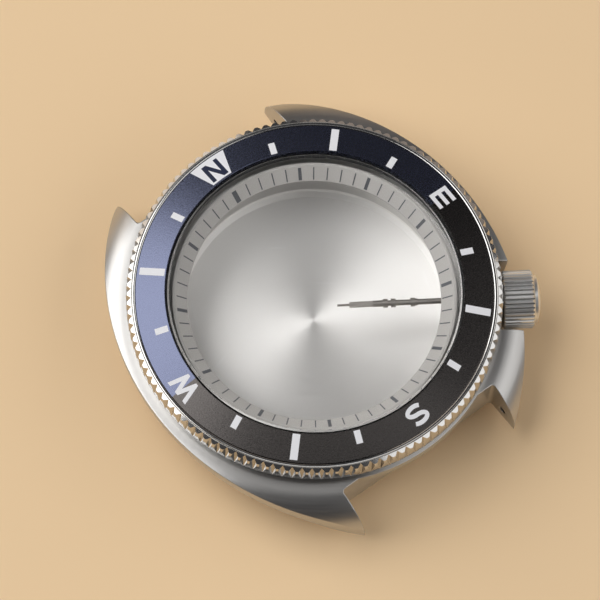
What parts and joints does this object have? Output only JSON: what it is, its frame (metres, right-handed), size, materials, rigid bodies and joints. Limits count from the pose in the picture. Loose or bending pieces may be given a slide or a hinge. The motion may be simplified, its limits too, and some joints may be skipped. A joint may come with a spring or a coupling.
{
  "type": "watch case",
  "caption": "Empty steel diver's watch case with a click bezel and compass insert, flat crystal, sloping chapter ring, screw back and screw-down crown with its stem.",
  "frame": {"origin": "centre of the back's flat outer face, on the case's turning axis", "axes": "+Z through the crystal, +Y to twelve o'clock, +X to three o'clock"},
  "size_m": [0.0424, 0.0454, 0.0122],
  "materials": {
    "case_steel": "circular brushed top, polished flanks",
    "bezel_steel": "polished coin edge",
    "insert_print": "matte anodised, half blue and half black",
    "adhesive": "thin double-sided film",
    "black_rubber": "nitrile seals",
    "spring_steel": "drawn wire",
    "ball_steel": "polished bearing ball",
    "crystal_glass": "polished flat glass",
    "gasket_nylon": "black nylon",
    "chapter_coat": "matte warm grey with printed minute marks",
    "back_steel": "turned inside, polished outside",
    "tube_steel": "turned",
    "crown_steel": "cut knurl and polished end",
    "stem_steel": "dark hardened steel"
  },
  "bodies": {
    "case": {"mid_case": "case_steel", "crystal": "crystal_glass", "crystal_gasket": "gasket_nylon", "chapter_ring": "chapter_coat", "crown_tube": "tube_steel", "bezel_gasket": "black_rubber", "click_spring": "spring_steel"},
    "bezel": {"bezel_ring": "bezel_steel", "bezel_insert": "insert_print", "insert_adhesive": "adhesive"},
    "click": {"click_ball": "ball_steel"},
    "back_seal": {"back_gasket": "black_rubber"},
    "back": {"case_back": "back_steel"},
    "tube_seal": {"tube_gasket": "black_rubber"},
    "winding": {"stem": "stem_steel", "crown_post": "stem_steel", "crown_spring": "spring_steel"},
    "crown_slide": {"slip_washer": "gasket_nylon"},
    "crown": {"crown_shell": "crown_steel", "crown_pipe": "tube_steel", "crown_gasket": "black_rubber"}
  },
  "joints": [
    {"name": "bezel_turn", "type": "hinge", "parent": "case", "child": "bezel", "pos_m": [0, 0, 0.0103], "axis": [0, 0, 1], "continuous": true},
    {"name": "click_press", "type": "slide", "parent": "case", "child": "click", "axis": [0, 0, -1], "range_m": [0, 0.0002], "stiffness_N_per_m": 150, "springref_m": -0.0003},
    {"name": "back_lift", "type": "slide", "parent": "case", "child": "back_seal", "axis": [0, 0, -1], "range_m": [0, 0.002]},
    {"name": "back_turn", "type": "hinge", "parent": "back_seal", "child": "back", "pos_m": [0, 0, 0], "axis": [0, 0, -1], "range_deg": [0, 1440]},
    {"name": "stem_turn", "type": "hinge", "parent": "case", "child": "tube_seal", "pos_m": [0.01772, -0.01164, 0.0063], "axis": [0.8358, -0.549, 0], "continuous": true},
    {"name": "stem_pull", "type": "slide", "parent": "tube_seal", "child": "winding", "axis": [0.8358, -0.549, 0], "range_m": [0, 0.0019]},
    {"name": "crown_rise", "type": "slide", "parent": "winding", "child": "crown_slide", "axis": [0.8358, -0.549, 0], "range_m": [0, 0.0012]},
    {"name": "crown_screw", "type": "hinge", "parent": "crown_slide", "child": "crown", "pos_m": [0.01839, -0.01208, 0.0063], "axis": [0.8358, -0.549, 0], "range_deg": [0, 864]}
  ],
  "couplings": [
    {"joint": "back_lift", "follows": "back_turn", "m_per_rad": 0.000079577},
    {"joint": "crown_screw", "follows": "crown_rise", "rad_per_m": 12566}
  ]
}
